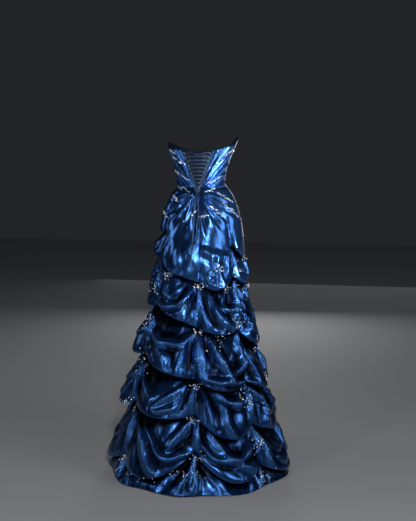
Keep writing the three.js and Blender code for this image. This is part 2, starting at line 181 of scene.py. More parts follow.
def curve_through(xs, ys, x):
    """A smooth curve through a table's rows."""
    order = np.argsort(xs)
    xs, ys = xs[order], ys[order]
    slope = np.empty(len(xs))
    slope[1:-1] = (ys[2:] - ys[:-2]) / (xs[2:] - xs[:-2])
    slope[0] = (ys[1] - ys[0]) / (xs[1] - xs[0])
    slope[-1] = (ys[-1] - ys[-2]) / (xs[-1] - xs[-2])
    at = np.clip(x, xs[0], xs[-1])
    i = np.clip(np.searchsorted(xs, at, side="right") - 1, 0, len(xs) - 2)
    width = xs[i + 1] - xs[i]
    t = (at - xs[i]) / width
    ends = (1 + 2 * t) * (1 - t) ** 2 * ys[i] + t * t * (3 - 2 * t) * ys[i + 1]
    bends = t * (1 - t) ** 2 * width * slope[i] + t * t * (t - 1) * width * slope[i + 1]
    return ends + bends


def figure_radius(degrees, z):
    angle = np.radians(degrees)
    side = curve_through(FIGURE[:, 0], FIGURE[:, 1], z)
    behind = curve_through(FIGURE[:, 0], FIGURE[:, 2], z)
    before = curve_through(FIGURE[:, 0], FIGURE[:, 3], z)
    depth = np.where(np.cos(angle) > 0, behind, before)
    return 1 / np.hypot(np.sin(angle) / side, np.cos(angle) / depth)


def lean_at(z):
    """The skirt leans a little to one side below the hips."""
    return LEAN["by"] * smooth_step((z - LEAN["from"]) / (LEAN["to"] - LEAN["from"]))


def placed(radius, degrees, z):
    """Points in millimetres at a distance out, an angle from centre back and a height."""
    angle = np.radians(degrees)
    return np.stack([lean_at(z) - radius * np.sin(angle), radius * np.cos(angle), z + 0 * radius], axis=-1)


def from_back(degrees):
    """The same angle, from -180 to 180."""
    return (np.asarray(degrees) + 540) % 360 - 180


print("waist", round(float(figure_radius(90, 0.0))), "mm to the side")

# %% [markdown]
# ## One way to make every piece of cloth
# A piece of cloth starts as a flat grid, as it does on the cutting table, and each of its points is carried
# to its place on the figure. The grid keeps its UV map in real metres, so the weave runs along the cut of
# the piece. A Solidify modifier gives the cloth its thickness, on the inside.

# %% Cloth from a grid
CLOTH_THICKNESS = 0.8
FACES_LOOKED_AT = 200


def grid_normals(points):
    down = np.gradient(points, axis=0)
    along = np.gradient(points, axis=1)
    out = np.cross(down, along)
    return out / np.maximum(np.linalg.norm(out, axis=-1, keepdims=True), 1e-9)


def lengths(points, axis):
    """How far along the cloth each point of a grid lies from the grid's first row or column."""
    steps = np.linalg.norm(np.diff(points, axis=axis), axis=-1)
    first = np.zeros_like(np.take(steps, [0], axis=axis))
    return np.concatenate([first, np.cumsum(steps, axis=axis)], axis=axis)


def cloth_from(name, points, **shares):
    """A piece of cloth through a grid of points in millimetres: points[row from the top, column].
    The finish reads the shares, one number for each point: crest on a ridge, where the cloth is crushed and
    lightened as a painted highlight, and recess, the painted shade in a hollow."""
    rows, columns = points.shape[:2]
    mesh = bpy.data.meshes.new(name)
    flat = bmesh.new()
    bmesh.ops.create_grid(flat, x_segments=columns - 1, y_segments=rows - 1, size=1, calc_uvs=True)
    spots = np.array([v.co[:2] for v in flat.verts])
    column = np.rint((spots[:, 0] + 1) / 2 * (columns - 1)).astype(int)
    row = np.rint((1 - spots[:, 1]) / 2 * (rows - 1)).astype(int)
    across = lengths(points, 1)[row, column] * MM
    down = lengths(points, 0)[row, column] * MM
    for vertex, place in zip(flat.verts, points[row, column] * MM):
        vertex.co = place
    uv = flat.loops.layers.uv.verify()
    for face in flat.faces:
        face.smooth = True
        for loop in face.loops:
            i = loop.vert.index
            loop[uv].uv = (across[i], down[i])
    flat.normal_update()
    some = list(flat.faces)[:FACES_LOOKED_AT]
    if sum(face.normal.dot(Vector(face.calc_center_median()[:2]).to_3d()) for face in some) < 0:
        bmesh.ops.reverse_faces(flat, faces=flat.faces)
    flat.to_mesh(mesh)
    flat.free()
    for share, values in shares.items():
        stored = mesh.attributes.new(share, "FLOAT", "POINT")
        stored.data.foreach_set("value", values[row, column].astype(np.float32))
    piece = add_object(name, mesh)
    wall = piece.modifiers.new("thickness", "SOLIDIFY")
    wall.thickness = CLOTH_THICKNESS * MM
    wall.offset = -1
    wall.material_offset = 1
    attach(piece, "root")
    return piece


def cloth_area(points):
    a = points[1:, 1:] - points[:-1, :-1]
    b = points[:-1, 1:] - points[1:, :-1]
    return float(np.linalg.norm(np.cross(a, b), axis=-1).sum()) / 2 * MM * MM


def hang_in_place_of(node, piece, points):
    """The sheet is shown in place of a node. Its flat size is its widest row and its mean line down."""
    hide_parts(node)
    width = float(lengths(points, 1)[:, -1].max()) * MM
    length = float(lengths(points, 0)[-1].mean()) * MM
    area = cloth_area(points)
    print(piece.name, "cut", round(width, 2), "x", round(length, 2), "m, area", round(area, 2))


# %% [markdown]
# ## The skirt's line from waist to hem
# Each gore is one length of cloth, longer than the skirt, that is picked up at its seams: at five heights
# all round, and at one more over the hips, at the sides only. Followed downwards, the cloth of a tier
# swells out, rolls under at the lower edge, runs back up to its stitches and turns down again. A smooth
# curve through a few knots for each tier gives that line at any angle.

# %% Tiers
SEAMS = np.array([7, 54, 94, 138, 180, 222, 264, 308, 367], float)
TIERS = [
    # lower edge on the eight seams; lower edge halfway; how far it stands out halfway
    ([-205, -236, -288, -262, -236, -226, -196, -176], [-222, -264, -300, -262, -244, -232, -190, -190],
     [10, 18, 22, 18, 14, 16, 12, 8]),
    ([-368, -350, -388, -362, -380, -318, -252, -300], [-398, -384, -404, -404, -372, -318, -262, -336],
     [40, 36, 38, 36, 36, 36, 38, 42]),
    ([-545, -564, -648, -564, -556, -502, -467, -471], [-571, -625, -648, -602, -564, -523, -484, -502],
     [56, 54, 50, 52, 54, 54, 54, 58]),
    ([-739, -758, -795, -742, -727, -710, -648, -663], [-784, -805, -805, -778, -759, -719, -677, -712],
     [64, 60, 56, 58, 60, 64, 70, 66]),
    ([-871, -928, -949, -901, -893, -882, -869, -856], [-961, -969, -959, -937, -925, -912, -893, -888],
     [68, 60, 56, 58, 62, 66, 74, 68]),
    ([-1006, -1084, -1107, -1072, -1040, -1072, -1103, -1072],
     [-1120, -1133, -1122, -1113, -1096, -1105, -1118, -1116], [62, 66, 58, 56, 58, 60, 64, 62]),
]
GORE_COUNT = len(SEAMS) - 1
HEM_TIER = len(TIERS)
FOLD = {"seam_share": 0.46, "swell_share": 0.76, "seam_hang": 15, "mid_hang": 50, "seam_roll": 3.2,
        "mid_roll": 8, "top_roll": 3, "rise": 1.2, "below": 9}
SWELL = {"hips_from": 0.28, "hips": 0.2, "top": 0.18, "top_keeps": 0.9, "full_at": 0.48, "full": 0.82,
         "full_keeps": 0.5, "less_if_loose": 0.2}
PLAIN = {"past_edge": 6, "shows": 20}
HIP_TUCK = {"back_from": 47, "back_full": 66, "front_full": 120, "front_to": 138}
HEM = {"out": 34, "ripple": 9, "ripples": 9, "phase": 0.6, "lift": 5, "lifts": 5,
       "high": 0.15, "high_out": 0.45, "low": 0.6, "low_out": 0.8}
STEPS_IN_TIER = [5, 13, 15, 4, 3, 4, 2, 3]
STEPS_AT_HEM = [5, 11, 11]


def gore_at(degrees):
    turned = SEAMS[0] + (degrees - SEAMS[0]) % 360
    gore = np.clip(np.searchsorted(SEAMS, turned, side="right") - 1, 0, GORE_COUNT - 1)
    return gore, (turned - SEAMS[gore]) / (SEAMS[gore + 1] - SEAMS[gore])


def fold_at(degrees, tier):
    """A tier's fold at each angle: its lower edge, how far that stands out, its stitches, roll and swell."""
    gore, share = gore_at(degrees)
    pick, swag, out = (np.array(column, float) for column in TIERS[tier])
    after, before = (gore + 1) % GORE_COUNT, (gore - 1) % GORE_COUNT
    middle = np.sin(np.pi * share)
    sag = swag[gore] - (pick[gore] + pick[after]) / 2
    edge = mix(pick[gore], pick[after], share) + sag * 4 * share * (1 - share)
    at_seam = mix((out[before] + out[gore]) / 2, (out[gore] + out[after]) / 2, share)
    stands = mix(FOLD["seam_share"] * at_seam, out[gore], middle)
    swell = mix(FOLD["swell_share"] * at_seam, out[gore], middle * middle)
    return (edge, stands, edge + mix(FOLD["seam_hang"], FOLD["mid_hang"], middle),
            mix(FOLD["seam_roll"], FOLD["mid_roll"], middle), swell)


def tuck_strength(degrees):
    """How much of the tier over the hips is picked up: all at the sides, none at the back and front."""
    turned = np.abs(from_back(degrees))
    opening = smooth_step((turned - HIP_TUCK["back_from"]) / (HIP_TUCK["back_full"] - HIP_TUCK["back_from"]))
    closing = smooth_step((HIP_TUCK["front_to"] - turned) / (HIP_TUCK["front_to"] - HIP_TUCK["front_full"]))
    return opening * closing


def cloth_line(degrees):
    """The knots of the skirt's line at each angle: heights and distances out, from waist to hem. Where a tier
    isn't picked up, its cloth hangs loose and plain down to the next one."""
    heights, outs = [], []
    start = shows = np.full_like(degrees, -PIECE_GAP / 2)
    start_out = loose = 0 * degrees
    for tier in range(len(TIERS)):
        edge, out, root, roll, swell = fold_at(degrees, tier)
        strength = tuck_strength(degrees) if tier == 0 else np.ones_like(degrees)
        side = edge + roll
        first = mix(shows, side, SWELL["hips_from"] if tier == 0 else 0)
        first_out = swell * (SWELL["hips"] if tier == 0 else SWELL["top"]) + start_out * SWELL["top_keeps"]
        full_out = swell * (SWELL["full"] - SWELL["less_if_loose"] * loose) + start_out * SWELL["full_keeps"]
        knots = [
            (start, start_out), (first, first_out), (mix(first, side, SWELL["full_at"]), full_out),
            (side, out), (edge, out - roll), (edge + FOLD["rise"] * roll, out - 2 * roll),
            (root - FOLD["top_roll"], 0 * out + 2 * FOLD["top_roll"]), (root, 0 * out + FOLD["top_roll"]),
        ]
        plain_to = edge - PLAIN["past_edge"]
        for k, (height, stand) in enumerate(knots):
            share = k / len(knots)
            heights.append(mix(mix(start, plain_to, share), height, strength))
            outs.append(mix(out * share ** 2, stand, strength))
        start = mix(plain_to, root - FOLD["top_roll"], strength)
        loose = 1 - strength
        start_out = out * loose
        shows = mix(plain_to - PLAIN["shows"], edge - FOLD["below"], strength)
    angle = np.radians(degrees)
    hem = FLOOR + HEM["lift"] * (1 + np.cos(HEM["lifts"] * angle)) / 2
    ripple = HEM["ripple"] * np.cos(HEM["ripples"] * angle + HEM["phase"])
    heights += [start, mix(shows, hem, HEM["high"]), mix(shows, hem, HEM["low"]), hem]
    outs += [0 * hem, 0 * hem + HEM["out"] * HEM["high_out"], HEM["out"] * HEM["low_out"] + ripple / 2,
             HEM["out"] + ripple]
    return np.array(heights), np.array(outs)


def smooth_line(knots, steps):
    """A centripetal curve through knots[k, column, 2], with a few steps from each knot to the next."""
    padded = np.concatenate([[2 * knots[0] - knots[1]], knots, [2 * knots[-1] - knots[-2]]])
    gaps = np.sqrt(np.maximum(np.linalg.norm(np.diff(padded, axis=0), axis=-1), 1e-6))[..., None]
    rows = []
    for k, count in enumerate(steps):
        p0, p1, p2, p3 = padded[k:k + 4]
        g0, g1, g2 = gaps[k:k + 3]
        lead = ((p1 - p0) / g0 - (p2 - p0) / (g0 + g1) + (p2 - p1) / g1) * g1
        trail = ((p2 - p1) / g1 - (p3 - p1) / (g1 + g2) + (p3 - p2) / g2) * g1
        for j in range(count):
            t = j / count
            rows.append((2 * t**3 - 3 * t**2 + 1) * p1 + (t**3 - 2 * t**2 + t) * lead
                        + (3 * t**2 - 2 * t**3) * p2 + (t**3 - t**2) * trail)
    rows.append(padded[-2])
    return np.array(rows)


KNOTS = len(STEPS_IN_TIER)
STEPS = STEPS_IN_TIER * len(TIERS) + STEPS_AT_HEM
TIER_OF_ROW = np.array([k // KNOTS for k, count in enumerate(STEPS) for _ in range(count)] + [HEM_TIER])
KNOT_OF_ROW = np.array([k % KNOTS + j / count for k, count in enumerate(STEPS) for j in range(count)]
                       + [len(STEPS_AT_HEM)])
print("rows down a gore", len(TIER_OF_ROW))

# %% [markdown]
# ## Creases
# Taffeta hangs from each pick-up in ridges that fan out, and between two pick-ups in deep U-shaped folds.
# Each crease is a line drawn over the skirt, in degrees from centre back and millimetres from the
# waist, with a height and a width. The cloth is lifted along it and sinks beside it, more steeply on the
# lower side.

# %% The creases that are listed one by one
CREASES = [
    # tier, height, width, steep side (1 below or to the left of the line, -1 the other, 0 even), points
    (1, 4, 9, 0, [(33, -238), (31, -290), (33, -345), (40, -385)]),
    (1, 5, 10, 0, [(47, -255), (45, -300), (44, -340)]),
    (1, 3.5, 8, 1, [(26, -325), (18, -345), (21, -372), (44, -400)]),
    (1, 5, 14, 0, [(12, -240), (28, -262), (50, -268)]),
    (1, 4, 13, 0, [(-22, -235), (-19, -285), (-24, -345)]),
    (1, 6, 16, 0, [(-44, -240), (-38, -290), (-20, -345)]),
    (2, 10, 13, 0, [(8.7, -380), (9.9, -435), (13.6, -491), (17, -545)]),
    (2, 13, 13, 0, [(16.8, -385), (23.8, -455), (32.4, -512), (50, -555)]),
    (2, 12, 15, 1, [(-54, -461), (-29.5, -467), (-15, -455), (-5.5, -424), (1.8, -388)]),
    (2, 13, 14, 1, [(34, -470), (43, -480), (54, -483), (67, -512)]),
    (2, 8, 16, 0, [(-33, -375), (-35, -411), (-25, -444)]),
    (2, 8, 14, 0, [(0, -385), (-8, -440), (-14, -520)]),
    (3, 10, 13, 0, [(11.6, -555), (13.8, -626), (15, -680), (13, -735)]),
    (3, 14, 15, 0, [(17, -555), (25.6, -628), (33, -696), (38, -750)]),
    (3, 10, 14, 0, [(3, -560), (-4, -600), (-6, -650), (-8, -715)]),
    (3, 12, 15, 0, [(66, -672), (54, -690), (44, -718), (26, -752)]),
    (3, 12, 18, 1, [(-64, -533), (-42, -587), (-16, -610), (-0.3, -590)]),
    (3, 9, 16, 0, [(-40, -530), (-36, -590), (-24, -650), (-20, -700)]),
    (3, 11, 13, 1, [(11.7, -732), (25.5, -747), (40, -757), (57, -766), (66, -781)]),
    (4, 11, 12, 0, [(7, -750), (5, -790), (2.9, -815), (-2.7, -872)]),
    (4, 11, 12, 0, [(11, -755), (15.8, -817), (18, -865), (19, -905)]),
    (4, 12, 15, 0, [(18, -760), (25, -798), (29, -846), (30, -905), (36, -970)]),
    (4, 11, 14, 1, [(-3.7, -765), (-16, -809), (-25, -850), (-21, -863), (-8, -846)]),
    (4, 12, 16, 1, [(24, -775), (34, -830), (46, -842), (60, -800)]),
    (4, 9, 14, 0, [(58.7, -786), (71, -854), (65.7, -943)]),
    (4, 9, 18, 0, [(-52, -700), (-45, -760), (-30, -820)]),
    (5, 12, 12, 0, [(7.5, -880), (8.8, -930), (9.5, -1000)]),
    (5, 11, 13, 0, [(4, -885), (-2, -930), (-8, -970), (-13, -1020)]),
    (5, 13, 17, 0, [(-52, -880), (-44, -921), (-33, -986), (-24, -1060), (-14, -1100)]),
    (5, 14, 15, 1, [(-36, -925), (-24, -990), (-13, -1036), (-2, -1022), (7, -1002)]),
    (5, 14, 17, 0, [(13, -890), (20, -960), (30, -1030), (46, -1085)]),
    (5, 12, 15, 1, [(10, -960), (20, -1030), (36, -1045), (52, -1010)]),
    (5, 11, 15, 0, [(58, -945), (60, -1000), (61.7, -1037), (60, -1095)]),
    (6, 9, 13, 0, [(7.5, -1012), (4, -1070), (-4, -1160)]),
    (6, 9, 12, 0, [(8, -1012), (14.5, -1045), (18.4, -1082), (23.8, -1120), (26, -1160)]),
    (6, 8, 14, 0, [(5, -1015), (-5, -1070), (-18, -1160)]),
    (6, 7, 14, 0, [(-44, -1085), (-42, -1120), (-38, -1160)]),
    (6, 7, 14, 0, [(44, -1125), (43, -1160)]),
]

# %% [markdown]
# The sides and the front are folded in the same way. A short table gives each gore its hanging folds, as
# shares of its width and drop, and each pick-up its fan of ridges.

# %% The creases of the sides and the front
HANGING = [
    # where across the fold starts and ends, how far down at its ends, how much further at its middle,
    # height, width
    (0.04, 0.96, 0.10, 0.30, 12, 16),
    (0.10, 0.93, 0.22, 0.44, 10, 15),
]
FANS = [
    # turn from straight down in degrees, length as a share of the drop, height, width
    (-34, 0.62, 9, 12), (-13, 0.86, 11, 12), (9, 0.95, 10, 11), (31, 0.70, 9, 13),
]
DRAWN_TO = 62
SEAM_RIDGE = {"height": 13, "width": 15, "reach": 0.86, "swing": 2.5}
CALM = {"from": 75, "over": 45, "least": 0.5, "hips": 0.5}
FAN_OUT = 40


def top_and_edge(degrees, tier):
    """Where a tier comes out from under the one above, and where its own edge is."""
    above = fold_at(degrees, tier - 1)[0]
    below = fold_at(degrees, tier)[0] if tier < HEM_TIER else np.full_like(degrees, FLOOR)
    return above, below


def seam_ridges():
    """The cloth under each pick-up hangs in a ridge along its seam."""
    found = []
    for tier in range(1, HEM_TIER + 1):
        for gore, low in enumerate(SEAMS[:-1]):
            above, below = top_and_edge(np.array([low]), tier)
            drop = (above[0] - below[0]) * SEAM_RIDGE["reach"]
            spread = np.linspace(0, 1, 5)
            swing = SEAM_RIDGE["swing"] * math.sin(2.6 * tier + 1.9 * gore)
            calm = float(tuck_strength(low)) * CALM["hips"] if tier == 1 else 1
            found.append((tier, SEAM_RIDGE["height"] * calm, SEAM_RIDGE["width"], 0,
                          list(zip(low + swing * spread, above[0] - spread * drop))))
    return found


def hidden_creases():
    """The folds of the gores that aren't drawn by hand. Sines of their numbers make each one differ."""
    found = []
    for tier in range(1, HEM_TIER + 1):
        for gore in range(GORE_COUNT):
            low, high = SEAMS[gore], SEAMS[gore + 1]
            middle = np.array([(low + high) / 2])
            if abs(from_back(middle[0])) < DRAWN_TO:
                continue
            to_front = float(smooth_step((abs(from_back(middle[0])) - CALM["from"]) / CALM["over"]))
            calm = mix(CALM["least"], 1.0, to_front) * (CALM["hips"] if tier == 1 else 1)
            for start, end, down, sag, height, width in HANGING:
                vary = 0.12 * math.sin(2.3 * tier + 1.7 * gore + 5 * down)
                shares = np.linspace(start, end, 7)
                degrees = mix(low, high, shares)
                above, below = top_and_edge(degrees, tier)
                drop = down + (sag + vary) * np.sin(np.pi * (shares - start) / (end - start))
                points = list(zip(degrees, mix(above, below, drop)))
                found.append((tier, calm * height * (1 + vary), width, 1, points))
            for turn, reach, height, width in FANS:
                vary = math.sin(3.1 * tier + 2.1 * gore + turn)
                above, below = top_and_edge(np.array([low]), tier)
                drop = (above[0] - below[0]) * reach * (1 + 0.15 * vary)
                radius = float(figure_radius(low, above[0])) + FAN_OUT
                spread = np.linspace(0, 1, 5)
                heading = math.radians(turn + 7 * vary)
                degrees = low + np.degrees(spread * drop * math.tan(heading) / radius)
                down = above[0] - spread * drop
                found.append((tier, calm * height * (1 + 0.25 * vary), width, 0, list(zip(degrees, down))))
    return found


ALL_CREASES = CREASES + seam_ridges() + hidden_creases()
print("creases", len(ALL_CREASES))

# %% [markdown]
# A crease's line is sampled finely, and each point of the cloth looks up its nearest sample. The lift falls
# off as a bell beside the line, with a trough past it, and dies out at both ends of the line.


# %% Lifting the cloth along its creases
CREASE = {"out": 35, "reach": 4.5, "steeper": 1.9, "round": 0.5, "peak": 0.55, "peak_fall": 1.9,
          "trough": 0.42, "trough_at": 2.0, "trough_fall": 1.3, "fade": 0.6}


def sampled(points, count=28):
    knots = np.array(points, float)
    if len(knots) < 3:
        return knots[0] + (knots[-1] - knots[0]) * np.linspace(0, 1, count)[:, None]
    at = np.linspace(0, len(knots) - 1, count)
    steps = np.arange(len(knots))
    return np.stack([curve_through(steps, knots[:, axis], at) for axis in (0, 1)], axis=-1)


def crease_lift(degrees, z, tier_rows, creases):
    """How far the creases lift each point of the grids degrees and z, in millimetres."""
    lift = np.zeros_like(z)
    for tier, height, width, steep, points in creases:
        line = sampled(points)
        centre = line[:, 0].mean()
        turned = centre + (degrees - centre + 180) % 360 - 180
        radius = float(figure_radius(centre, line[:, 1].mean())) + CREASE["out"]
        margin = CREASE["reach"] * width
        reach = np.degrees(margin / radius)
        near = ((tier_rows == tier)
                & (turned > line[:, 0].min() - reach) & (turned < line[:, 0].max() + reach)
                & (z > line[:, 1].min() - margin) & (z < line[:, 1].max() + margin))
        if not near.any():
            continue
        spots = np.stack([np.radians(turned[near]) * radius, z[near]], axis=-1)
        track = np.stack([np.radians(line[:, 0]) * radius, line[:, 1]], axis=-1)
        gaps = np.linalg.norm(spots[:, None] - track[None], axis=-1)
        nearest = gaps.argmin(axis=1)
        heading = np.gradient(track, axis=0)[nearest]
        aside = spots - track[nearest]
        side = np.sign(heading[:, 0] * aside[:, 1] - heading[:, 1] * aside[:, 0])
        x = gaps[np.arange(len(nearest)), nearest] / width
        x = x * np.where(side * steep < 0, CREASE["steeper"], 1.0)
        trough = CREASE["trough"] * np.exp(-((x - CREASE["trough_at"]) ** 2) * CREASE["trough_fall"])
        bell = CREASE["round"] * np.exp(-x * x) + CREASE["peak"] * np.exp(-CREASE["peak_fall"] * x) - trough
        along = (nearest + 1.5) / (len(line) + 2)
        fade = np.sin(np.pi * np.clip(along, 0, 1)) ** CREASE["fade"]
        lift[near] += height * bell * fade
    return lift


# %% [markdown]
# ## The gores
# The finest forms come last: gathers under each row of stitches, pleats that spread over the hips from the
# foot of the lacing, and the small dents of crushed taffeta, which run longer down the cloth than across
# it.

# %% Gathers, hip pleats and dents
GATHERS = {"around": 18, "deep": 4.5}
HIP_PLEATS = {"radius": 115, "top": -4, "width": math.radians(13), "deep": 6.72, "from": 18, "rise": 40,
              "fall": 115, "to": 210}
PLEAT = {"rises": 0.74, "uneven": 0.16}
DENTS = {"skirt": 0.6, "bodice": 0.3, "wide": 34, "tall": 62, "crease": 2.2,
         "fine": 0.45, "fine_wide": 13, "fine_tall": 24, "fine_apart": 50}


def gather_lift(degrees, knot_rows, tier_rows):
    fade = np.interp(knot_rows, [0, 1, 2, 3, 4], [0, 1, 0.7, 0.25, 0])
    ripple = np.cos(GATHERS["around"] * np.radians(degrees) + tier_rows)
    picked = np.where(tier_rows == 1, tuck_strength(degrees), np.minimum(tier_rows, 1))
    return GATHERS["deep"] * fade * ripple * picked


def fold_wave(turns):
    """A pleat seen end on: it rises slowly and drops fast, as a fold of cloth pressed to one side."""
    phase = turns % 1
    rises = PLEAT["rises"]
    return np.where(phase < rises, smooth_step(phase / rises), smooth_step((1 - phase) / (1 - rises)))


def hip_pleat_lift(degrees, z):
    down = HIP_PLEATS["top"] - z
    across = HIP_PLEATS["radius"] * np.radians(from_back(degrees))
    reach = np.hypot(across, down)
    fade = (smooth_step((reach - HIP_PLEATS["from"]) / HIP_PLEATS["rise"])
            * smooth_step((HIP_PLEATS["to"] - reach) / (HIP_PLEATS["to"] - HIP_PLEATS["fall"])))
    spread = np.arctan2(np.abs(across), np.maximum(down, 0))
    uneven = PLEAT["uneven"] * np.sin(spread * 5 + (across > 0) * 2)
    return HIP_PLEATS["deep"] * fade * (fold_wave(spread / HIP_PLEATS["width"] + uneven) - 0.5)


def dents(points, deep):
    """Small dents, from noise over the points in millimetres."""
    across, tall = DENTS["wide"], DENTS["tall"]
    fine_across, fine_tall = DENTS["fine_wide"], DENTS["fine_tall"]
    flat = points.reshape(-1, 3)
    out = np.empty(len(flat))
    for i, (x, y, z) in enumerate(flat):
        wide = noise.noise(Vector((x / across, y / across, z / tall)))
        fine = noise.noise(Vector((x / fine_across, y / fine_across, z / fine_tall + DENTS["fine_apart"])))
        out[i] = deep * (1 - DENTS["crease"] * abs(wide)) + DENTS["fine"] * deep * fine
    return out.reshape(points.shape[:2])


GORES = [
    ("skirt_back_right", 96), ("skirt_side_back_right", 72), ("skirt_side_front_right", 56),
    ("skirt_front_right", 52), ("skirt_front_left", 52), ("skirt_side_front_left", 56),
    ("skirt_side_back_left", 72), ("skirt_back_left", 104),
]
CREST_HEIGHT = 9
# painted shade under each fold: a band that starts at the edge of the fold above, wider to one side of centre
# back
RECESS_SHADE = {"start": 1.15, "band": 30, "deep_band": 70, "deep_at": -40, "deep_width": 20,
          "deep_from": 3, "deep_to": 5}
# painted shade in the troughs beside the creases
TROUGH_SHADE = {"depth": 5, "share": 0.5}
BESIDE_SEAM, PAST_SEAM = 0.03, 0.5
# knots down a tier, and how much of a crease shows at each: all on the front, and nothing on the way back up
FRONT_OF_TIER = ([0, 1, 3, 4, 5, 5.5, 8], [0.2, 1, 1, 0.45, 0.1, 0, 0])


def recess_shade_share(degrees, z, tier_rows):
    """How much painted shade each point of a gore takes in the hollow under the fold above it. The painted
    shade reaches furthest down to one side of centre back."""
    turned = from_back(degrees[0])
    deepest = np.exp(-((turned - RECESS_SHADE["deep_at"]) / RECESS_SHADE["deep_width"]) ** 2)
    share = np.zeros_like(z)
    for tier in range(1, HEM_TIER + 1):
        band = RECESS_SHADE["band"] * (tuck_strength(degrees[0]) + 0.01 if tier == 1 else 1)
        if RECESS_SHADE["deep_from"] <= tier <= RECESS_SHADE["deep_to"]:
            band = band + RECESS_SHADE["deep_band"] * deepest
        under = smooth_step(RECESS_SHADE["start"] - (fold_at(degrees[0], tier - 1)[0] - z) / band)
        share = np.where(tier_rows == tier, under, share)
    return share


def gore_points(index, columns):
    """A gore's points. A spare column past each seam lets both of its gores lift the same way there."""
    low, high = SEAMS[index] + BESIDE_SEAM, SEAMS[index + 1] - BESIDE_SEAM
    column = np.concatenate([[low - PAST_SEAM], np.linspace(low, high, columns + 1), [high + PAST_SEAM]])
    line = smooth_line(np.stack(cloth_line(column), axis=-1), STEPS)
    z, out = line[..., 0], line[..., 1]
    degrees = np.broadcast_to(column, z.shape)
    tier_rows = np.broadcast_to(TIER_OF_ROW[:, None], z.shape)
    knot_rows = np.broadcast_to(KNOT_OF_ROW[:, None], z.shape)
    radius = figure_radius(degrees, z) + out + gather_lift(degrees, knot_rows, tier_rows)
    points = placed(radius + hip_pleat_lift(degrees, z), degrees, z)
    front = np.interp(knot_rows, *FRONT_OF_TIER)
    front = np.where(tier_rows == 0, np.where(knot_rows < 1, knot_rows * 0.5, 1), front)
    front = np.where(tier_rows == HEM_TIER, np.clip(0.2 + knot_rows, 0, 1), front)
    lift = crease_lift(degrees, z, tier_rows, ALL_CREASES) * front
    outward = grid_normals(points)
    if (outward[..., :2] * points[..., :2]).sum() < 0:
        outward = -outward
    # crest: how high the creases stand; the finish crushes the cloth there and lightens its colour, a painted
    # highlight
    crest = np.clip(lift / CREST_HEIGHT, 0, 1)
    dented = dents(points, DENTS["skirt"]) * (0.3 + 0.7 * front)
    points = points + outward * (lift + dented)[..., None]
    # The hollows under the folds and the troughs beside the creases take painted shade, which the finish
    # darkens.
    trough = TROUGH_SHADE["share"] * np.clip(-lift / TROUGH_SHADE["depth"], 0, 1)
    recess = np.maximum(recess_shade_share(degrees, z, tier_rows), trough)
    return points[:, 1:-1], crest[:, 1:-1], recess[:, 1:-1]


skirt = []
for index, (node, columns) in enumerate(GORES):
    points, crest, recess = gore_points(index, columns)
    gore = cloth_from(node.replace("skirt", "gore"), points, crest=crest, recess=recess)
    hang_in_place_of(node, gore, points)
    skirt.append(gore)

# %% [markdown]
# ## The bodice
# Five panels: a front, two side fronts that meet it in princess seams over the bust, and two backs. The
# backs are laid in pleats that run from the side down to the foot of the lacing. A pleat is a fold pressed
# to one side, so its upper side slopes gently and its lower side is a step.

# %% Bodice panels
OPENING = {"top": 57, "waist": 13, "ease": 6}
BACK_PLEATS = {"radius": 105, "centre": -34, "width": math.radians(9.5), "deep": 6.5, "plain": 8, "rise": 12,
               "side": 4, "fine": 3.4, "fine_deep": 0.16}


def neckline_height(degrees):
    return curve_through(NECKLINE[:, 0], NECKLINE[:, 1], from_back(degrees))


def bust_out(degrees, z):
    wide = (np.abs(from_back(degrees)) - BUST["angle"]) / BUST["wide"]
    tall = (z - BUST["z"]) / BUST["tall"]
    return BUST["out"] * np.exp(-wide * wide - tall * tall)


def opening_half(z):
    return mix(OPENING["waist"], OPENING["top"], np.maximum(z, 0) / BACK_TOP)


def opening_degrees(z):
    behind = curve_through(FIGURE[:, 0], FIGURE[:, 2], z)
    return np.degrees(np.arcsin(opening_half(z) / (behind + OPENING["ease"])))


def back_pleat_lift(degrees, z):
    across = BACK_PLEATS["radius"] * np.radians(np.abs(from_back(degrees)))
    spread = np.arctan2(across, z - BACK_PLEATS["centre"])
    from_edge = across - BACK_PLEATS["radius"] * np.radians(opening_degrees(z))
    to_side = np.radians(SIDE_SEAM - BACK_PLEATS["side"]) * BACK_PLEATS["radius"] - across
    fade = smooth_step((from_edge - BACK_PLEATS["plain"]) / BACK_PLEATS["rise"])
    fade = fade * smooth_step(to_side / BACK_PLEATS["rise"])
    turns = PLEAT["uneven"] * np.sin(9 * spread + 2 * (degrees > 0)) - spread / BACK_PLEATS["width"]
    pleats = fold_wave(turns) + BACK_PLEATS["fine_deep"] * fold_wave(turns * BACK_PLEATS["fine"])
    return BACK_PLEATS["deep"] * fade * pleats


def bodice_points(start, end, columns, rows, pleated=False):
    """start and end give the panel's edges, in degrees at a height."""
    share = np.linspace(0, 1, columns + 1)[None, :]
    down = np.linspace(0, 1, rows + 1)[:, None]
    top_degrees = mix(start(BACK_TOP), end(BACK_TOP), share)
    z = mix(neckline_height(top_degrees), PIECE_GAP / 2, down)
    degrees = mix(start(z), end(z), share)
    radius = figure_radius(degrees, z) + bust_out(degrees, z)
    lift = back_pleat_lift(degrees, z) if pleated else np.zeros_like(radius)
    radius = radius + lift
    dented = dents(placed(radius, degrees, z), DENTS["bodice"])
    return placed(radius + dented, degrees, z), lift / BACK_PLEATS["deep"]


def fixed(degrees):
    return lambda z: degrees + 0 * np.asarray(z)


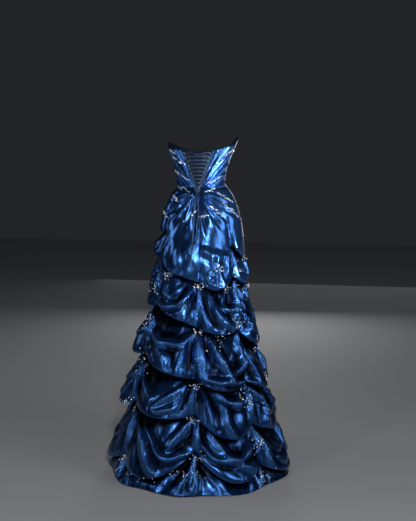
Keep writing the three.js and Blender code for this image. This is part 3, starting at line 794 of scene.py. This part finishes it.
PANELS = [
    ("bodice_back_right", opening_degrees, fixed(SIDE_SEAM), 110, 110, True),
    ("bodice_back_left", fixed(-SIDE_SEAM), lambda z: -opening_degrees(z), 110, 110, True),
    ("bodice_side_front_right", fixed(SIDE_SEAM), fixed(PRINCESS_SEAM), 48, 60, False),
    ("bodice_side_front_left", fixed(-PRINCESS_SEAM), fixed(-SIDE_SEAM), 48, 60, False),
    ("bodice_front", fixed(PRINCESS_SEAM), fixed(360 - PRINCESS_SEAM), 64, 60, False),
]
bodice = []
for node, start, end, columns, rows, pleated in PANELS:
    # crest marks the tops of the pleats, which the finish crushes and lightens as a painted highlight
    points, crest = bodice_points(start, end, columns, rows, pleated)
    panel = cloth_from(node.replace("bodice", "panel"), points, crest=crest)
    hang_in_place_of(node, panel, points)
    bodice.append(panel)

# %% [markdown]
# ## The panel behind the lacing
# A plain piece that closes the gap. It lies just inside the two backs, with faint upright creases.

# %% Modesty panel
MODESTY = {"lap": 9, "lower": 5, "clear": 0.5, "cloth": 2, "deep": 0.9, "creases": 16, "slant": 0.02}


def modesty_points(columns=60, rows=60):
    share = np.linspace(-1, 1, columns + 1)[None, :]
    down = np.linspace(0, 1, rows + 1)[:, None]
    z = mix(BACK_TOP - MODESTY["lower"], PIECE_GAP / 2, down) + 0 * share
    reach = (opening_half(z) + MODESTY["lap"]) / opening_half(z)
    degrees = share * opening_degrees(z) * reach
    radius = figure_radius(degrees, z) - MODESTY["cloth"] - MODESTY["clear"]
    crease = 0.5 + 0.5 * np.cos(MODESTY["creases"] * share + MODESTY["slant"] * z)
    return placed(radius - MODESTY["deep"] * crease, degrees, z)


points = modesty_points()
modesty = cloth_from("modesty", points)
hang_in_place_of("modesty_panel", modesty, points)

# %% [markdown]
# ## Loops, lace and knot
# On each side one thin cord is sewn to the edge in nine loops. The lace goes through them from side to side
# and ends in a small knot at the waist.

# %% Lacing
LOOPS = {"pairs": 9, "top": 133, "bottom": 13, "cord": 2.4, "reach": 7, "foot": 5, "high": 4.2}
LACE = {"over": 2.2, "lift": 6, "crossing": 3, "knot": (3.5, 92.5, 2.2)}
KNOT = [
    (-9, 97, -10), (-2, 99, -3), (7, 97, -1), (10, 94, -7), (4, 92, -13), (-3, 95, -9), (-2, 99, 0),
    (-9, 96, -1), (-11, 93, -6), (-5, 92, -12), (3, 98, -12), (9, 98, -9), (6, 93, -4), (0, 91, -6),
]
SOLID_CLOTH = 2


def loop_place(k, side):
    """The height of a loop and the angle of the edge that it is sewn to."""
    z = mix(LOOPS["top"], LOOPS["bottom"], k / (LOOPS["pairs"] - 1))
    return z, side * float(opening_degrees(z))


def on_back(edge, inward, z, out):
    """A point over the back, so many millimetres in from an edge and out from the figure."""
    degrees = edge - math.degrees(inward / float(figure_radius(edge, z)))
    return tuple(placed(figure_radius(degrees, z) + out, degrees, z))


def loop_points(side):
    out = SOLID_CLOTH / 2 + 2 * PIECE_GAP + LOOPS["cord"] / 2
    foot, reach, high = LOOPS["foot"], LOOPS["reach"], LOOPS["high"]
    side_in = 0.2 * reach
    points = []
    for k in range(LOOPS["pairs"]):
        z, edge = loop_place(k, side)
        for inward, up in ((-foot, high), (side_in, high), (reach, 0), (side_in, -high), (-foot, -high)):
            points.append(on_back(edge, side * inward, z + up, out))
    return points


def lace_points():
    """From the knot up to the top loops and down again. The two ways cross between the loops."""
    points = []

    def turn(k, side):
        z, edge = loop_place(k, side)
        inward = LOOPS["reach"] - (LOOPS["cord"] + LACE_WIDTH) / 2
        points.append(on_back(edge, side * inward, z, LACE["lift"]))

    def cross(k, lift):
        z = (loop_place(k, 1)[0] + loop_place(k + 1, 1)[0]) / 2
        points.append(tuple(placed(figure_radius(0, z) + LACE["lift"] + LACE["crossing"] + lift, 0, z)))

    x, y, z = LACE["knot"]
    lowest = LOOPS["pairs"] - 1
    side = -1
    points.append((-side * x, y, z))
    for k in range(lowest, 0, -1):
        turn(k, side)
        cross(k - 1, LACE["over"])
        side = -side
    turn(0, side)
    top_out = figure_radius(0, LOOPS["top"]) + LACE["lift"] + LACE["crossing"]
    points.append(tuple(placed(top_out, 0, LOOPS["top"])))
    side = -side
    for k in range(lowest):
        turn(k, side)
        cross(k, -LACE["over"])
        side = -side
    turn(lowest, side)
    points.append((-side * x, y, z))
    return points


for name, side in (("right", 1), ("left", -1)):
    cord_along("loops_" + name, "loop_cord_" + name, loop_points(side), LOOPS["cord"])
cord_along("lace", "lacing", lace_points(), LACE_WIDTH)
cord_along("lace_knot", "lacing_knot", KNOT, LACE_WIDTH, closed=True)
print("lace", round(line_length(lace_points()), 2), "m through the loops")

# %% [markdown]
# ## Beads
# Silver beads lie in short sprays over the pleats of the bodice and the hips, and in loose clusters at each
# pick-up and near the hem. Each bead is a small faceted ball, pushed a little into the cloth. A ray from
# outside towards the figure finds the cloth under it. The beads of the sprays are joined into one piece, and
# those of the clusters into another.

# %% Where the beads go
SPRAYS = [
    # from, to (degrees, z); number of beads
    ((-74, 152), (-52, 137), 17), ((-70, 122), (-31, 90), 24), ((-72, 68), (-22, 27), 26),
    ((82, 151), (56, 127), 19), ((65, 108), (38, 84), 19), ((67, 48), (29, 18), 24),
    ((-64, 2), (-21, -14), 20), ((-62, -30), (-43, -52), 22), ((-74, -97), (-55, -122), 14),
    ((-20, -130), (0, -90), 22), ((6, -114), (22, -105), 14), ((25, -68), (53, -118), 26),
    ((49, -18), (75, -58), 24), ((52, -60), (78, -118), 26), ((19, -16), (46, -3), 16),
    ((100, 150), (122, 128), 18), ((-100, 150), (-122, 128), 18), ((118, -20), (142, -70), 22),
    ((-104, -20), (-128, -70), 22), ((150, 140), (170, 112), 18), ((-150, 140), (-170, 112), 18),
    ((140, -10), (162, -60), 20), ((-140, -10), (-162, -60), 20),
]
CLUSTERS = [
    # degrees, z, spread across and down in millimetres, number of beads
    (-38, -346, 34, 22, 24), (-58, -404, 36, 30, 30), (-61, -540, 46, 54, 44), (-61, -712, 50, 54, 44),
    (-60, -882, 48, 46, 32),
    (8, -384, 30, 20, 22), (8, -566, 36, 26, 24), (7, -760, 40, 18, 20), (4, -893, 40, 16, 18),
    (8, -1024, 34, 30, 18), (31, -318, 26, 18, 18), (45, -396, 28, 22, 18), (55, -540, 36, 24, 24),
    (36, -585, 30, 26, 12), (51, -827, 40, 34, 24), (56, -1004, 40, 34, 26), (62, -330, 24, 40, 14),
    (76, -420, 26, 36, 14), (82, -600, 26, 36, 16), (84, -770, 26, 36, 14), (28, -620, 60, 60, 10),
    (-30, -1130, 70, 22, 20), (-54, -1106, 60, 40, 44), (2, -1096, 80, 26, 24), (54, -1130, 60, 34, 26),
    (94, -300, 30, 24, 14), (94, -404, 30, 24, 16), (94, -664, 32, 24, 16), (94, -815, 32, 26, 16),
    (94, -965, 34, 26, 16),
]
FRONT_PICKS = [
    # Each seam of the front has a cluster at every pick-up, a little smaller at its upper two.
    # seam, number of beads at its highest pick-up, height of each pick-up
    (138, 16, [-380, -580, -760, -918, -1090]), (180, 16, [-396, -572, -745, -910, -1056]),
    (222, 16, [-336, -520, -728, -900, -1088]), (264, 14, [-272, -485, -666, -886, -1118]),
]
for seam, first_count, heights in FRONT_PICKS:
    for k, z in enumerate(heights):
        CLUSTERS.append((seam, z, *((30, 22) if k < 2 else (34, 24)), first_count if k == 0 else 16))
CLUSTERS += [(130, -1130, 70, 18, 20), (-130, -1130, 70, 18, 20), (180, -1130, 80, 18, 20)]
print("sprays", len(SPRAYS), "clusters", len(CLUSTERS))

# %% Beads on the cloth
BEAD_SIZES = [2.2, 2.6, 3, 3.4, 4, 5]
BEAD = {"flat": 0.75, "proud": 0.25, "faces": 20}
SPRAY = {"width": 7, "tip": 0.12, "stray": 0.4}
CLUSTER = {"out": 30, "spread": 0.42, "bead": 1.1}
LOWEST_BEAD = FLOOR + 12


def cloth_tree(pieces):
    joined = bmesh.new()
    for piece in pieces:
        joined.from_mesh(piece.data)
    tree = BVHTree.FromBMesh(joined)
    joined.free()
    return tree


def on_cloth(tree, degrees, z):
    """The outermost cloth at an angle and a height, in metres, and the way it faces."""
    angle = math.radians(degrees)
    outward = Vector((-math.sin(angle), math.cos(angle), 0))
    start = Vector((float(lean_at(z)), 0, z)) * MM + outward
    spot, facing, _, _ = tree.ray_cast(start, -outward, 1.0)
    if spot is None:
        return None
    return spot, facing if facing.dot(outward) > 0 else -facing


def add_bead(beads, spot, facing, size):
    made = bmesh.ops.create_icosphere(beads, subdivisions=1, radius=size * MM / 2)
    turn = facing.to_track_quat("Z", "Y").to_matrix()
    for vertex in made["verts"]:
        vertex.co.z *= BEAD["flat"]
        vertex.co = spot + facing * (BEAD["proud"] * size * MM) + turn @ vertex.co


def spray_spots(rng):
    """A spray has the shape of a narrow leaf."""
    for (d0, z0), (d1, z1), count in SPRAYS:
        radius = float(figure_radius(d0, z0))
        long = math.hypot(math.radians(d1 - d0) * radius, z1 - z0)
        for k in range(count):
            t = (k + rng.uniform(-SPRAY["stray"], 1 + SPRAY["stray"])) / count
            leaf = math.sin(math.pi * np.clip(t, SPRAY["tip"], 1 - SPRAY["tip"]))
            wide = SPRAY["width"] * leaf * rng.uniform(-1, 1)
            aside = math.degrees(wide * (z0 - z1) / long / radius)
            up = wide * math.radians(d1 - d0) * radius / long
            yield mix(d0, d1, t) + aside, mix(z0, z1, t) + up, rng.choice(BEAD_SIZES)


def cluster_spots(rng):
    for degrees, z, wide, tall, count in CLUSTERS:
        radius = float(figure_radius(degrees, z)) + CLUSTER["out"]
        for _ in range(count):
            across, down = rng.normal(0, CLUSTER["spread"], 2)
            turned = degrees + math.degrees(across * wide / radius)
            yield turned, z + down * tall, rng.choice(BEAD_SIZES) * CLUSTER["bead"]


tree = cloth_tree(skirt + bodice)
bead_pieces = []
for name, spots in (("spray_beads", spray_spots), ("cluster_beads", cluster_spots)):
    beads = bmesh.new()
    rng = np.random.default_rng(11)
    for degrees, z, size in spots(rng):
        found = on_cloth(tree, degrees, max(z, LOWEST_BEAD))
        if found:
            add_bead(beads, *found, size)
    mesh = bpy.data.meshes.new(name)
    beads.to_mesh(mesh)
    beads.free()
    piece = add_object(name, mesh)
    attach(piece, "root")
    bead_pieces.append(piece)
    print(name, len(mesh.polygons) // BEAD["faces"], "beads")

# %% [markdown]
# ## Materials
# Shader maths is written as plain expressions. A small class wraps a socket, and its operators add Math
# nodes.


# %% Node helpers
class Value:
    """A number that changes over a surface."""

    def __init__(self, finish, socket):
        self.finish = finish
        self.socket = socket

    def math(self, operation, *others):
        sockets = dict(enumerate((self, *others)))
        made = self.finish.node("ShaderNodeMath", {"operation": operation}, sockets)
        return Value(self.finish, made.outputs[0])

    def __add__(self, other):
        return self.math("ADD", other)

    __radd__ = __add__

    def __mul__(self, other):
        return self.math("MULTIPLY", other)

    __rmul__ = __mul__

    def __sub__(self, other):
        return self.math("SUBTRACT", other)

    def __rsub__(self, other):
        return (self * -1) + other

    def clamp(self):
        return self.math("MAXIMUM", 0.0).math("MINIMUM", 1.0)


def set_stops(marks, stops):
    """The stops of a colour ramp, each a place on the ramp and a colour."""
    while len(marks) < len(stops):
        marks.new(0.5)
    for mark, (at, colour) in zip(marks, stops):
        mark.position = at
        mark.color = (*colour, 1)


class Finish:
    """A material and its nodes."""

    def __init__(self, name):
        self.material = bpy.data.materials.new(name)
        self.material.use_nodes = True
        self.tree = self.material.node_tree
        self.tree.nodes.clear()
        self.shader = self.node("ShaderNodeBsdfPrincipled")
        self.node("ShaderNodeOutputMaterial", {}, {"Surface": self.shader.outputs[0]})

    def fill(self, socket, value):
        """A number or a colour is set, and anything that changes over the surface is linked."""
        value = value.socket if isinstance(value, Value) else value
        if isinstance(value, bpy.types.NodeSocket):
            self.tree.links.new(value, socket)
        else:
            socket.default_value = value

    def node(self, kind, settings={}, sockets={}):
        made = self.tree.nodes.new(kind)
        for key, value in settings.items():
            if key == "stops":
                set_stops(made.color_ramp.elements, value)
            else:
                setattr(made, key, value)
        for key, value in sockets.items():
            self.fill(made.inputs[key], value)
        return made

    def set(self, **sockets):
        for key, value in sockets.items():
            self.fill(self.shader.inputs[key.replace("_", " ")], value)

    def place(self, kind, scale):
        """Coordinates of a kind, UV or Object, stretched by scale."""
        where = self.node("ShaderNodeTexCoord").outputs[kind]
        return self.node("ShaderNodeMapping", {}, {"Vector": where, "Scale": scale}).outputs[0]

    def attribute(self, name):
        return Value(self, self.node("ShaderNodeAttribute", {"attribute_name": name}).outputs["Fac"])

    def noise(self, vector, detail=2.0, roughness=0.5):
        made = self.node("ShaderNodeTexNoise", {}, {"Vector": vector, "Scale": 1.0, "Detail": detail,
                                                    "Roughness": roughness})
        return Value(self, made.outputs[0])

    def wave(self, vector, direction):
        made = self.node("ShaderNodeTexWave", {"bands_direction": direction, "wave_profile": "SIN"},
                         {"Vector": vector, "Scale": 1.0, "Distortion": 0.0})
        return Value(self, made.outputs[1])

    def colours(self, share, stops):
        return self.node("ShaderNodeValToRGB", {"stops": stops}, {0: share}).outputs[0]

    def bump(self, height, distance, below=None):
        sockets = {"Height": height, "Distance": distance, "Strength": 1.0}
        if below is not None:
            sockets["Normal"] = below
        return self.node("ShaderNodeBump", {}, sockets).outputs[0]


# %% [markdown]
# Taffeta: threads of filament yarn, woven tight. The shine is metallic and takes the colour of the threads.
# Some thicker threads run across, and streaks run down. Patches of the cloth and the tops of its creases
# are crushed. The creases' tops are also lightened, a painted highlight, and the hollows under the folds and
# beside the creases are darkened and made duller, painted shade: the cloth's own points say where, as the
# attributes crest and recess.

# %% Taffeta
# The back of the cloth is duller, and its colour is painted nearly black: painted shade for the inside of the
# dress.
REVERSE_SHADE_COLOUR = (0.003, 0.010, 0.035, 1)
CRUSH = {"height": 0.0038, "rest": 0.08, "patch": 0.7, "patch_from": 0.56, "patch_edge": 8, "crest": 1.0}

taffeta = Finish("taffeta")
# painted shade: darker and duller cloth in the hollows
painted_recess_shade = taffeta.attribute("recess")
# crest crushes the cloth, a bump, and lightens its colour, a painted highlight
crest_crush_and_highlight = taffeta.attribute("crest")
crush = taffeta.noise(taffeta.place("UV", (100, 48, 1)), detail=5, roughness=0.6)
patchy = taffeta.noise(taffeta.place("UV", (14, 6, 1)), detail=2)
patches = ((patchy - CRUSH["patch_from"]) * CRUSH["patch_edge"]).clamp()
crushed = (patches * CRUSH["patch"] + crest_crush_and_highlight * CRUSH["crest"] + CRUSH["rest"]).clamp()
streaks = taffeta.noise(taffeta.place("UV", (60, 6, 1)), detail=3)
slubs = taffeta.noise(taffeta.place("UV", (25, 900, 1)), detail=2)
weave = (taffeta.wave(taffeta.place("UV", (160, 160, 1)), "X")
         * taffeta.wave(taffeta.place("UV", (160, 160, 1)), "Y"))
cloudy = taffeta.noise(taffeta.place("Object", (9, 9, 5)), detail=3)
taffeta.set(
    # Base colour: a random cloudy tone and streaks, lightened on the crests as a painted highlight and
    # darkened nearly to black in the hollows as painted shade.
    Base_Color=taffeta.colours(cloudy * 0.5 + streaks * 0.5 + crest_crush_and_highlight * 0.2 - painted_recess_shade * 0.95,
                               [(0.0, (0.0006, 0.002, 0.007)), (0.32, (0.014, 0.058, 0.20)),
                                (0.68, (0.042, 0.150, 0.44)), (0.85, (0.075, 0.22, 0.58))]),
    # The painted shade also makes the hollows duller, with no coat.
    Metallic=0.9 + painted_recess_shade * 0.1,
    Roughness=0.17 + streaks * 0.08 + painted_recess_shade * 0.3,
    Coat_Weight=0.06 - painted_recess_shade * 0.06,
    Coat_Roughness=0.14,
    Normal=taffeta.bump(weave * 0.15 + slubs * 0.25, 0.00008,
                        taffeta.bump(crush * crushed, CRUSH["height"])),
)
# The reverse side: a duller shine, and a nearly black colour that is painted shade.
reverse = Finish("taffeta_reverse")
reverse_streaks = reverse.noise(reverse.place("UV", (60, 6, 1)), detail=3)
reverse.set(
    Base_Color=REVERSE_SHADE_COLOUR,
    Metallic=0.3,
    Roughness=0.5 + reverse_streaks * 0.15,
    Normal=reverse.bump(reverse_streaks, 0.0008),
)
for piece in skirt + bodice:
    piece.data.materials.append(taffeta.material)
    piece.data.materials.append(reverse.material)

panel_cloth = Finish("panel_taffeta")
panel_streaks = panel_cloth.noise(panel_cloth.place("UV", (90, 25, 1)), detail=3)
panel_cloth.set(
    Base_Color=panel_cloth.colours(panel_streaks, [(0.3, (0.002, 0.006, 0.02)), (0.7, (0.006, 0.016, 0.05))]),
    Metallic=0.5,
    Roughness=0.38 + panel_streaks * 0.1,
    Normal=panel_cloth.bump(panel_streaks, 0.001),
)
modesty.data.materials.append(panel_cloth.material)
modesty.data.materials.append(reverse.material)

# %% [markdown]
# The cord is satin: dark, with a soft shine. The beads are cut glass with a silver back. Real ones catch
# every light in a room; these give off a little light of their own instead, a painted glow.

# %% Cord and beads
satin = Finish("satin_cord")
twist = satin.noise(satin.place("Object", (400, 400, 900)), detail=1)
satin.set(
    Base_Color=satin.colours(twist, [(0.3, (0.018, 0.036, 0.08)), (0.7, (0.065, 0.115, 0.21))]),
    Metallic=0.5,
    Roughness=0.3 + twist * 0.1,
    Normal=satin.bump(twist, 0.0002),
)
for piece in cords:
    piece.data.materials.append(satin.material)

glass_bead = Finish("silver_beads")
glint = glass_bead.noise(glass_bead.place("Object", (160, 160, 160)), detail=0)
glass_bead.set(
    Base_Color=glass_bead.colours(glint, [(0.35, (0.70, 0.76, 0.86)), (0.65, (0.98, 0.98, 1.0))]),
    Metallic=0.35,
    Roughness=0.14 + glint * 0.1,
    Coat_Weight=1.0,
    Coat_Roughness=0.05,
    # painted glow: the beads give off a little light in place of glints
    Emission_Color=(0.8, 0.9, 1.0, 1.0),
    Emission_Strength=0.35,
)
for piece in bead_pieces:
    piece.data.materials.append(glass_bead.material)
print("materials", len(bpy.data.materials))

# %% [markdown]
# ## Floor and light
# A plain pale floor and soft studio light. The main light is small. It stands a metre above the camera and
# a little to its right, so that the folds that face it shine and the hollows stay dark. Large weak panels
# behind and in front show in the metallic cloth as a soft glow.

# %% Floor
ground = bpy.data.meshes.new("floor")
plane = bmesh.new()
bmesh.ops.create_grid(plane, x_segments=1, y_segments=1, size=9)
bmesh.ops.translate(plane, verts=plane.verts, vec=(0, 0, (FLOOR - 1) * MM))
plane.to_mesh(ground)
plane.free()
floor = add_object("floor", ground)
pale = Finish("pale_floor")
grain = pale.noise(pale.place("Object", (3, 3, 3)), detail=2)
pale.set(Base_Color=(0.5, 0.51, 0.53, 1), Roughness=0.7 + grain * 0.1)
ground.materials.append(pale.material)

world = bpy.data.worlds.new("studio")
world.use_nodes = True
world.node_tree.nodes["Background"].inputs[0].default_value = (0.8, 0.88, 1.0, 1)
world.node_tree.nodes["Background"].inputs[1].default_value = 0.02
bpy.context.scene.world = world
bpy.context.scene.view_settings.view_transform = "Standard"


def soft_light(name, place, target, size, power, spread=180):
    lamp = bpy.data.lights.new(name, "AREA")
    lamp.shape = "RECTANGLE"
    lamp.size, lamp.size_y = size
    lamp.energy = power
    lamp.spread = math.radians(spread)
    made = add_object(name, lamp)
    made.location = place
    made.rotation_euler = (Vector(target) - Vector(place)).to_track_quat("-Z", "Y").to_euler()
    made.visible_camera = False


soft_light("key", (-0.9, 3.4, 1.2), (0, 0, -0.6), (0.35, 0.35), 38)
soft_light("fill", (1.6, 3.0, 0.0), (0, 0, -0.8), (0.3, 0.8), 13)
soft_light("panel", (0.2, 5.0, 0.0), (0, 0, -0.5), (4.0, 2.4), 4)
soft_light("side", (-2.8, 1.4, 0.7), (0, 0, 0.05), (1.4, 1.0), 19)
soft_light("low_side", (-2.5, 1.6, -0.7), (-0.05, 0, 0.1), (0.8, 0.7), 5, spread=24)
soft_light("other_side", (3.2, 0.2, 0.6), (0, 0, -0.4), (0.5, 1.2), 7)
soft_light("front", (0.3, -3.5, -0.1), (0, 0, -0.5), (1.2, 0.8), 12)
soft_light("front_panel", (0, -5.0, 0.0), (0, 0, -0.5), (4.0, 2.4), 3.5)
